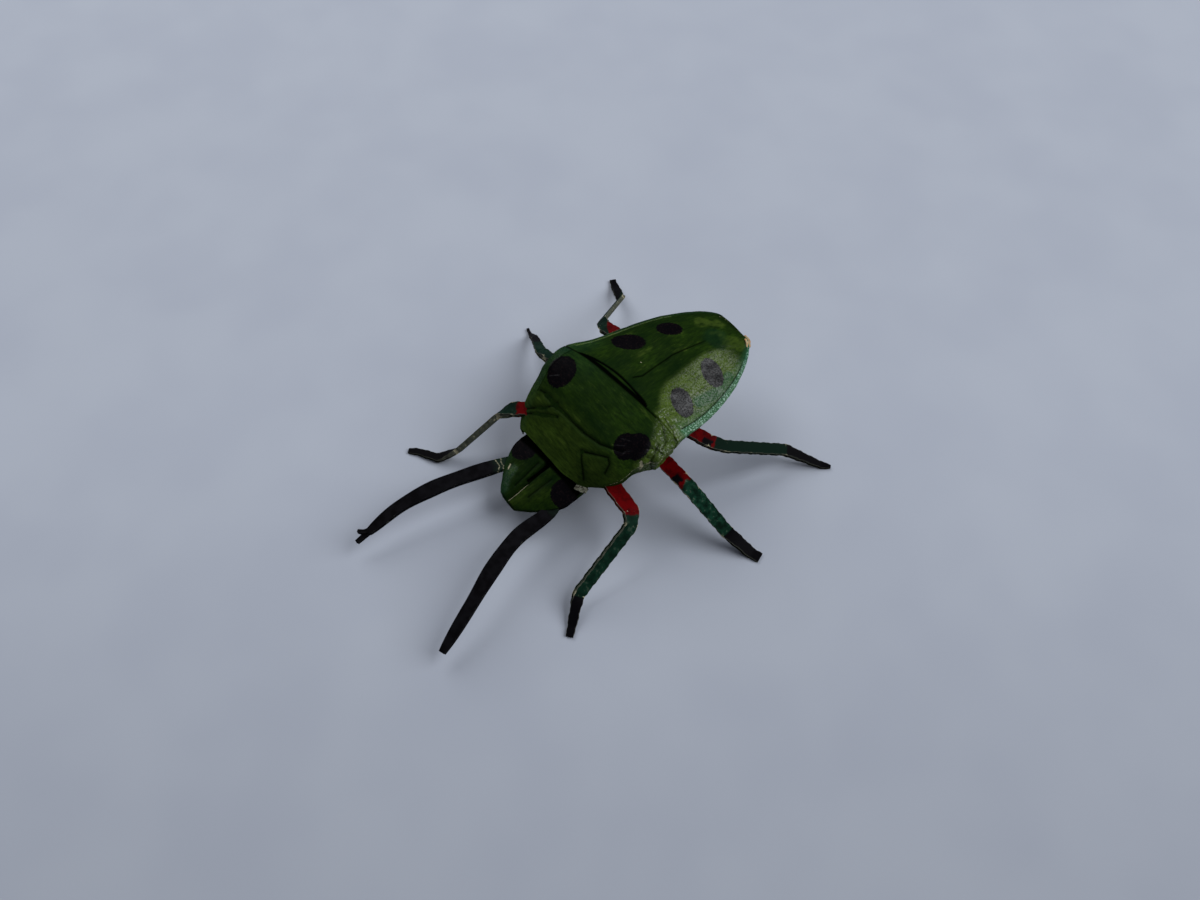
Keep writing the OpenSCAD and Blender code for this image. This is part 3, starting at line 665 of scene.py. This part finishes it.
def strip_tree():
    """The tree that stacks leaves of paper along a path of points."""
    tree = bpy.data.node_groups.new("folded strip", "GeometryNodeTree")
    inputs = {"Path": "Geometry", "Leaves": "Int", "Wander": "Float", "Seed": "Float", "Finish": "Material"}
    for name, kind in inputs.items():
        tree.interface.new_socket(name, in_out="INPUT", socket_type="NodeSocket" + kind)
    tree.interface.new_socket("Strip", in_out="OUTPUT", socket_type="NodeSocketGeometry")
    start = tree.nodes.new("NodeGroupInput")
    given = {s.name: Wire(tree, s) for s in start.outputs if s.name}
    path = given["Path"]
    count = path.node("GeometryNodeAttributeDomainSize", {"component": "MESH"}, {0: path}, out="Point Count")
    box = path.node("GeometryNodeMeshCube", {}, {"Size": (1, 1, 1), "Vertices X": count})
    stack = path.node("GeometryNodePoints", {}, {"Count": given["Leaves"]})
    number = path.node("GeometryNodeInputIndex")
    store = {"data_type": "FLOAT", "domain": "POINT"}
    stack = stack.node("GeometryNodeStoreNamedAttribute", store, {0: stack, "Name": "leaf", "Value": number})
    leaves = stack.node("GeometryNodeInstanceOnPoints", {}, {"Points": stack, "Instance": box})
    leaves = leaves.node("GeometryNodeRealizeInstances", {}, {0: leaves})
    place = path.node("GeometryNodeInputPosition")
    split = place.node("ShaderNodeSeparateXYZ", {}, {0: place})
    x, y, z = (Wire(tree, split.socket.node.outputs[k]) for k in range(3))
    index = ((x + 0.5) * (count - 1)).math("ROUND")

    def along_path(name, kind):
        named = path.node("GeometryNodeInputNamedAttribute", {"data_type": kind}, {"Name": name})
        return path.node("GeometryNodeSampleIndex", {"data_type": kind, "domain": "POINT"},
                         {"Geometry": path, "Value": named, "Index": index})

    spot = path.node("GeometryNodeSampleIndex", {"data_type": "FLOAT_VECTOR", "domain": "POINT"},
                     {"Geometry": path, "Value": place, "Index": index})
    leaf_number = path.node("GeometryNodeInputNamedAttribute", {"data_type": "FLOAT"}, {"Name": "leaf"})
    level = leaf_number - (given["Leaves"] - 1) * 0.5
    run = along_path("run", "FLOAT")
    width, pitch = along_path("width", "FLOAT"), along_path("pitch", "FLOAT")
    seat = path.node("ShaderNodeCombineXYZ", {}, {0: run * 0.9, 1: leaf_number * 3.7 + given["Seed"],
                                                  2: y.math("SIGN") * 5})
    wave = seat.node("ShaderNodeTexNoise", {}, {"Vector": seat, "Scale": 1.0, "Detail": 2.0})
    inner = 1 - level.math("ABSOLUTE").math("COMPARE", (given["Leaves"] - 1) * 0.5, 0.1)
    half = width - given["Wander"] * (wave * 2 * inner)
    sideways = along_path("across", "FLOAT_VECTOR").scaled(y * 2 * half)
    upward = along_path("off", "FLOAT_VECTOR").scaled((level + z * 0.84) * pitch)
    spot = spot.vector("ADD", sideways).vector("ADD", upward)
    for name, value in (("run", run), ("v", y * 2), ("bend", along_path("bend", "FLOAT"))):
        kept = {0: leaves, "Name": name, "Value": value}
        leaves = leaves.node("GeometryNodeStoreNamedAttribute", store, kept)
    leaves = leaves.node("GeometryNodeSetPosition", {}, {"Geometry": leaves, "Position": spot})
    leaves = leaves.node("GeometryNodeSetMaterial", {}, {"Geometry": leaves, "Material": given["Finish"]})
    end = tree.nodes.new("NodeGroupOutput")
    tree.links.new(leaves.socket, end.inputs[0])
    return tree


folded_strip = strip_tree()


def strip(name, path, across, off, width, pitch, bend, leaves, wander, seed, material):
    """A stack of leaves along a path, with its width and its leaves' pitch at each point."""
    mesh = bpy.data.meshes.new(name)
    mesh.from_pydata(((path - HOME) * MM).tolist(), [[i, i + 1] for i in range(len(path) - 1)], [])
    run = np.concatenate([[0], np.cumsum(np.linalg.norm(np.diff(path, axis=0), axis=1))])
    for key, values in (("run", run), ("width", width * MM / 2), ("pitch", pitch * MM), ("bend", bend)):
        mesh.attributes.new(key, "FLOAT", "POINT").data.foreach_set("value", np.asarray(values, np.float32))
    for key, values in (("across", across), ("off", off)):
        layer = mesh.attributes.new(key, "FLOAT_VECTOR", "POINT")
        layer.data.foreach_set("vector", np.asarray(values, np.float32).ravel())
    obj = bpy.data.objects.new(name, mesh)
    bpy.context.scene.collection.objects.link(obj)
    made = obj.modifiers.new("leaves", "NODES")
    made.node_group = folded_strip
    given = {"Leaves": leaves, "Wander": wander * MM, "Seed": float(seed), "Finish": material}
    for item in folded_strip.interface.items_tree:
        if item.in_out == "INPUT" and item.name in given:
            made[item.identifier] = given[item.name]
    finish_mesh(obj, name)
    part_of_sheet(obj)


def facing_up(count):
    return np.tile([0, 0, 1.0], (count, 1))


def strip_frames(path, facing):
    """The directions across and off the strip at each point of its path."""
    across, off = [], []
    for i in range(len(path)):
        a, b = path[max(0, i - 1)], path[min(len(path) - 1, i + 1)]
        d = unit(b - a)
        across.append(unit(np.cross(d, facing[i])))
        off.append(np.cross(across[-1], d))
    return np.array(across), np.array(off)


def smoothed(values, times):
    for _ in range(times):
        inner = (values[:-2] + 2 * values[1:-1] + values[2:]) / 4
        values = np.concatenate([values[:1], inner, values[-1:]])
    return values


CRIMSON, SCARLET, BOTTLE, JADE = map(colour, ("400204", "5a0205", "091b13", "1d4735"))
EDGE_GREY = colour("6e6f62")


def leg_paint(name, knee, ankle, thigh_black, sheen, slant):
    """The paint of one leg; knee and ankle are where its colours change, in mm along it."""
    material, mm, shader = new_finish(name)
    run, v, bend = mark(mm, "run"), mark(mm, "v"), mark(mm, "bend")
    fleck, brush = grain(mm, (1, 1, 1), 0.5, 3, 0.65), grain(mm, (1, 1, 1), 1.3, 3)
    fibre = grain(mm, (1, 1, 1), 0.1, 2)
    ragged = run + (brush - 0.5) * 1.6 - v * slant
    red = brush.rise(0.35, 0.6).tint(CRIMSON, SCARLET)
    green = (brush.rise(0.3, 0.75) * sheen).tint(BOTTLE, JADE)
    green = ((fleck + brush).rise(1.12, 1.2) * sheen * 0.4).tint(green, EDGE_GREY)
    look = ragged.rise(knee - 0.15, knee + 0.15).tint(red, green)
    # A black wedge painted on one side of the thigh, a little before the knee.
    black_wedge = ragged.rise(knee - 2.4, knee - 2.1) * (1 - ragged.rise(knee - 0.6, knee - 0.4)) * thigh_black
    look = (black_wedge * v.rise(-0.3, 0.1)).tint(look, BLACK_PAINT)
    look = ragged.rise(ankle - 0.2, ankle + 0.2).tint(look, BLACK_PAINT)
    cut = v.math("ABSOLUTE").rise(0.93, 0.995)
    every_other = mark(mm, "leaf").math("PINGPONG", 1.0)
    look = (cut * (0.25 + every_other * 0.2 + fleck * 0.5)).tint(look, EDGE_GREY)
    worn = (cut * 0.34 + bend * (0.25 + v * v * 0.25) + (fleck - 0.5) * 1.5).rise(0.5, 0.62)
    worn = worn * (1 - ragged.rise(ankle, ankle + 1) * 0.8)
    look = worn.tint(look, CREAM)
    shader_links(shader, look, mm, 0.42 + fleck * 0.25, fleck * 0.6 + fibre * 0.5)
    shader.inputs["Specular IOR Level"].default_value = 0.02
    return material


def body_under(y):
    return rim(y) - side_depth(y) - 0.8 * ease((REAR - y) / 5)


LEG_LEAVES, LEG_THICK, BEND = 11, 1.25, 1.7


def leg(name, hip, knee, ankle, toe, thigh_face, shin_face, seed, widths, red_to=0.0, thigh_black=0.0, sheen=0.35,
        sag=None, stack=LEG_THICK, slant=0.0, black_from=0.2):
    """One leg from hip to toe, in mm.

    widths are those of its thigh, shin, ankle, heel and tip, stack is how thick its shin is, and sag is
    where its foot bows. red_to and black_from say how far past the knee and the ankle the colours change,
    sooty and sheen how much black the thigh and how much green the shin has, and slant how askew the
    colours meet.
    """
    hip, knee, ankle, toe, thigh_face, shin_face = (
        np.array(p, float) for p in (hip, knee, ankle, toe, thigh_face, shin_face))
    root_y = hip[1] * 0.8
    root = np.array([np.sign(hip[0]) * 1.5, root_y, float(body_under(root_y)) - 0.325])
    upper = knee + unit(hip - knee) * min(BEND, np.linalg.norm(hip - knee) / 3)
    lower = knee + unit(ankle - knee) * min(BEND, np.linalg.norm(ankle - knee) / 3)
    ankle[2] = max(ankle[2], LEG_THICK / 2)
    forward = unit((toe - ankle) * [1, 1, 0])
    tip = toe + forward * 0.62 + [0, 0, 0.235]
    heel = toe - forward * 1.3 + [0, 0, 0.34]
    bow = mix(ankle, heel, 0.5) if sag is None else np.array(sag)
    corners = np.array([root, hip, upper, lower, ankle, bow, heel, tip])
    thigh, shin, narrow, foot, end = widths
    width = [thigh, thigh, thigh, shin, narrow, mix(narrow, foot, 0.5), foot, end]
    thick = [LEG_THICK, LEG_THICK, LEG_THICK, stack, stack * 0.95, 0.85, 0.6, 0.42]
    up = np.array([0, 0, 1.0])
    faces = np.array([thigh_face] * 3 + [shin_face] * 2 + [up, up, up])
    runs = np.concatenate([[0], np.cumsum(np.linalg.norm(np.diff(corners, axis=0), axis=1))])
    at = np.linspace(0, runs[-1], int(runs[-1] / 0.25))
    path = smoothed(np.stack([np.interp(at, runs, corners[:, k]) for k in range(3)], 1), 3)
    facing_at = smoothed(np.stack([np.interp(at, runs, faces[:, k]) for k in range(3)], 1), 4)
    across, off = strip_frames(path, facing_at)
    bend = np.max([bell((at - runs[k]) / 0.5) for k in (2, 3, 4)], axis=0)
    red_end = (runs[2] + runs[3]) / 2 - 0.6 + red_to
    paint = leg_paint(name + " paint", red_end, runs[4] + black_from, thigh_black, sheen, slant)
    nibbled = np.interp(at, runs, width) + 0.1 * np.sin(at * 2.3 + seed) + 0.07 * np.sin(at * 5.1 + seed * 2)
    pitch = np.interp(at, runs, thick) / LEG_LEAVES
    strip(name, path, across, off, nibbled, pitch, bend, LEG_LEAVES, 0.26, seed, paint)


leg("leg_left_front", hip=(11.4, -11.2, 10), knee=(19, -11.6, 9.2), ankle=(21.8, -26.9, 2.3),
    toe=(26.1, -32, 0), thigh_face=(0.5, 0, 0.85), shin_face=(0.66, 0.09, 0.74), seed=1,
    widths=(2.85, 2.2, 2.1, 1.6, 1.25))
leg("leg_left_middle", hip=(13.6, -1, 11.3), knee=(20, -0.6, 10.5), ankle=(28.9, 1.7, 3.5),
    toe=(35.3, 4.1, 0), thigh_face=(0.3, -0.3, 0.9), shin_face=(0.3, -0.3, 0.9), seed=2,
    widths=(2.75, 2.7, 2.4, 2.15, 1.9), thigh_black=1, sheen=0.9)
leg("leg_left_hind", hip=(11.8, 6.9, 11.5), knee=(16.8, 9.4, 10), ankle=(22.8, 22.3, 3.6),
    toe=(29.5, 28.1, 0), thigh_face=(0.4, 0.1, 0.9), shin_face=(0.4, 0.1, 0.9), seed=3,
    widths=(2.5, 2.2, 2.15, 1.45, 0.85), thigh_black=1, sheen=0)
leg("leg_right_front", hip=(-11.2, -13.4, 10.3), knee=(-14.5, -16.6, 9.3), ankle=(-16.6, -27.2, 2.1),
    toe=(-23.2, -33.9, 0), thigh_face=(-0.1, -0.3, 0.95), shin_face=(-0.85, 0, 0.5), seed=4,
    widths=(2.7, 2.2, 1.9, 1.35, 1.1), red_to=-1.9, sheen=0.15, sag=(-18.3, -30.7, 0.8), stack=1.15)
leg("leg_right_middle", hip=(-13.4, -1.6, 11.2), knee=(-21.3, -3, 8.7), ankle=(-29.2, 0.5, 3.2),
    toe=(-33.7, 1.9, 0), thigh_face=(0.2, 0.3, 0.9), shin_face=(0.35, -0.1, 0.9), seed=5,
    widths=(2.4, 2.1, 1.5, 0.8, 0.45), red_to=-6, sheen=0.15, stack=0.9, black_from=-3.6)
leg("leg_right_hind", hip=(-14.8, 10.6, 11), knee=(-20.3, 10.7, 8.7), ankle=(-26.8, 21.6, 3),
    toe=(-33.4, 24.7, 0), thigh_face=(-0.3, -0.1, 0.95), shin_face=(-0.85, -0.2, 0.5), seed=6,
    widths=(2.6, 2.2, 1.9, 1.6, 1.3), red_to=-2.4, sheen=0.15, stack=0.85, slant=2.4)

# Two antennae: flat strips of folded leaves, painted matte black and curved by hand, not creased.
# The tip of the right one is torn, so its leaves part into two prongs.
LAMPBLACK, RUBBED_BLACK, GREEN_BLACK = map(colour, ("070608", "0f0e11", "1b2a20"))


def antenna_paint(name, cracked, green_to):
    """Black paint over green; green_to is where the green ends, in mm from the root."""
    material, mm, shader = new_finish(name)
    run, v = mark(mm, "run"), mark(mm, "v")
    fleck, brush = grain(mm, (1, 1, 1), 0.45, 3, 0.7), grain(mm, (1, 1, 1), 1.5, 3)
    look = brush.rise(0.35, 0.65).tint(LAMPBLACK, RUBBED_BLACK)
    base = (1 - (run + (brush - 0.5) * 2.5).rise(green_to - 2.6, green_to)) * 0.8
    look = base.tint(look, GREEN_BLACK)
    cut = v.math("ABSOLUTE").rise(0.95, 1.0)
    look = ((cut * 0.3 + (fleck - 0.5) * 1.5).rise(0.42, 0.55) * 0.35).tint(look, EDGE_GREY)
    bent = run + (brush - 0.5) * 2.2
    crack = (bent - 5.0).math("ABSOLUTE").math("MINIMUM", (bent - 6.1).math("ABSOLUTE"))
    look = ((1 - (crack + (fleck - 0.5) * 0.9).rise(0.02, 0.12)) * cracked).tint(look, CREAM)
    shader_links(shader, look, mm, 0.55 + fleck * 0.2, fleck * 0.6 + brush * 0.3)
    shader.inputs["Specular IOR Level"].default_value = 0.02
    return material


NECK = np.array([0, FRONT, 8.9])
LEFT_ANTENNA = NECK + [(4.6, -2, -3.0), (6.8, -5.3, -3.3), (7.9, -13.2, -2.2), (10.3, -20, -2),
                       (13.5, -27.4, -3.1), (16.4, -35.3, -5.7)]
RIGHT_ANTENNA = NECK + [(-4.6, -2, -3.0), (-6.5, -5.7, -3.3), (-8.1, -12.7, -2.2), (-9.7, -19.9, -2),
                        (-10.7, -26.9, -2.9), (-10.5, -33.6, -4.4)]


def curved(points, steps):
    """A smooth path through a few points."""
    p = np.concatenate([points[:1], points, points[-1:]])
    out = []
    for i in range(1, len(p) - 2):
        a, b, c, d = p[i - 1:i + 3]
        for t in np.arange(steps) / steps:
            square, cube = a - b * 2.5 + c * 2 - d / 2, (b - c) * 1.5 + (d - a) / 2
            out.append(b + t * ((c - a) / 2 + t * (square + t * cube)))
    return np.array(out + [points[-1]])


ANTENNA_LEAVES, ANTENNA_THICK = 7, 0.95
PRONG_LEAVES, PRONG_THICK = 5, 0.7


def antenna(name, points, seed, black):
    path = curved(points, 22)
    t = np.linspace(0, 1, len(path))
    taper = np.where(t < 0.5, mix(2.1, 2.8, np.sin(np.pi * np.minimum(t, 0.5))),
                     mix(2.8, 1.2, (np.maximum(t - 0.5, 0) * 2) ** 2.2))
    across, off = strip_frames(path, facing_up(len(path)))
    pitch = np.full(len(path), ANTENNA_THICK / ANTENNA_LEAVES)
    width = taper + 0.12 * np.sin(t * 23)
    strip(name, path, across, off, width, pitch, 0 * t, ANTENNA_LEAVES, 0.1, seed, black)
    return path


antenna("antenna_left", LEFT_ANTENNA, 7, antenna_paint("left antenna paint", 0, 5.2))
path = antenna("antenna_right", RIGHT_ANTENNA, 8, antenna_paint("right antenna paint", 0.6, 7.8))
prong_paint = antenna_paint("prong paint", 0, 0)
way = unit(path[-1] - path[-12])
for k, (end, size) in enumerate(((way * 2.6 + [-0.3, 0, -0.5], 0.75), (way * 1.43 + [-1.5, 0, 0.3], 0.6))):
    prong = curved(np.array([path[-1] - way * 0.8, path[-1] + end * 0.35, path[-1] + end]), 8)
    t = np.linspace(0, 1, len(prong))
    across, off = strip_frames(prong, facing_up(len(prong)))
    pitch = np.full(len(prong), PRONG_THICK / PRONG_LEAVES)
    width = mix(1.1, size, t)
    strip(f"prong_{k}", prong, across, off, width, pitch, 0 * t, PRONG_LEAVES, 0.08, 9 + k, prong_paint)


# Two bare corners of the sheet: one between the head and the plate, darkened with painted shade, and the
# crumb at the rear edge.
def bare_paper(name, pale, stain_and_shade):
    material, mm, shader = new_finish(name)
    fleck = grain(mm, (1, 1, 1), 0.4, 3, 0.7)
    look = fleck.rise(0.4, 0.6).tint(pale, stain_and_shade)
    look = (mark(mm, "dark") * 0.8).tint(look, DEEP)
    shader_links(shader, look, mm, 0.75 + fleck * 0.1, fleck)
    return material


def corner(name, places, size, seed, paper):
    """A small crumpled corner of bare paper along a few points."""
    path = curved(np.array(places, float), 10)
    across = np.linspace(-1, 1, 9)
    side = unit(np.cross(path[-1] - path[0], [0, 0, 1]))
    grid = path[:, None] + side * (across * size / 2)[None, :, None]
    grid[..., 2] += 0.35 * ripple(grid, 0.8, seed) + 0.15 * np.abs(across)
    leaf(name, grid, 0.16, {"dark": np.zeros(grid.shape[:2])}, paper)


# The tab between the head and the plate is bare paper in greys, as painted shade under the plate's front
# edge.
corner("neck_tab", [(7.0, -16.2, 8.9), (8.1, -15.8, 9.1), (9.2, -15.1, 9.0)], size=1.1, seed=41,
       paper=bare_paper("shaded bare paper", EDGE_GREY, colour("3a3830")))
corner("rear_crumb", [(2.6, 28.2, 14.1), (4.1, 27.9, 14.5), (5.4, 27.0, 14.3)], size=0.9, seed=42,
       paper=bare_paper("bare paper", CREAM, TAN))

# The table: a plain pale surface, with painted shade making it a little darker towards the camera.
bpy.ops.mesh.primitive_plane_add(size=3)
table = bpy.context.object
table.name = "table"
floor_finish, mm, shader = new_finish("table finish")
PALE, PALER, SHADE = map(colour, ("a9aebb", "aeb3bf", "6d7079"))
clouds = grain(mm, (1, 1, 1), 30, 2)
away = mm.vector("DOT_PRODUCT", (-0.79, 0.61, 0), out="Value")
shade = clouds.rise(0.3, 0.7).tint(PALE, PALER)
shade = (away.rise(15, -110) * 0.3).tint(shade, SHADE)
mm.tree.links.new(shade.socket, shader.inputs["Base Color"])
shader.inputs["Roughness"].default_value = 0.9
table.data.materials.append(floor_finish)


# A wide soft lamp stands for the window behind the bug, and a weak one for the pale wall across from it.
def lamp(name, place, aim, size, power, tone):
    light = bpy.data.lights.new(name, "AREA")
    light.size, light.energy, light.color = size, power, tone
    obj = bpy.data.objects.new(name, light)
    obj.location = place
    obj.rotation_euler = (Vector(aim) - Vector(place)).to_track_quat("-Z", "Y").to_euler()
    bpy.context.scene.collection.objects.link(obj)


lamp("window", (1.18, 1.48, 1.65), (0, 0.01, 0), 2.0, 60, (0.95, 0.98, 1.0))
lamp("wall", (-0.9, 0.05, 0.75), (0, 0, 0), 0.9, 7.5, (0.97, 0.99, 1.0))
world = bpy.data.worlds.new("room")
world.use_nodes = True
world.node_tree.nodes["Background"].inputs["Color"].default_value = (0.80, 0.86, 1.0, 1)
world.node_tree.nodes["Background"].inputs["Strength"].default_value = 0.12
bpy.context.scene.world = world
bpy.context.scene.view_settings.view_transform = "Standard"

# The camera, at the photograph's angle: above the bug's left front, looking down on its middle.
EYE, LOOKS_AT = np.array([77.5, -65.4, 158.8]), np.array([-0.8, -4.4, 0])
camera = bpy.data.cameras.new("camera")
camera.sensor_width, camera.lens = 36, 28.5
camera.clip_start, camera.clip_end = 0.01, 20
eye = bpy.data.objects.new("camera", camera)
eye.location = (EYE - HOME) * MM
line_of_sight = Vector((LOOKS_AT - EYE) * MM)
eye.rotation_euler = line_of_sight.to_track_quat("-Z", "Y").to_euler()
bpy.context.scene.collection.objects.link(eye)
bpy.context.scene.camera = eye
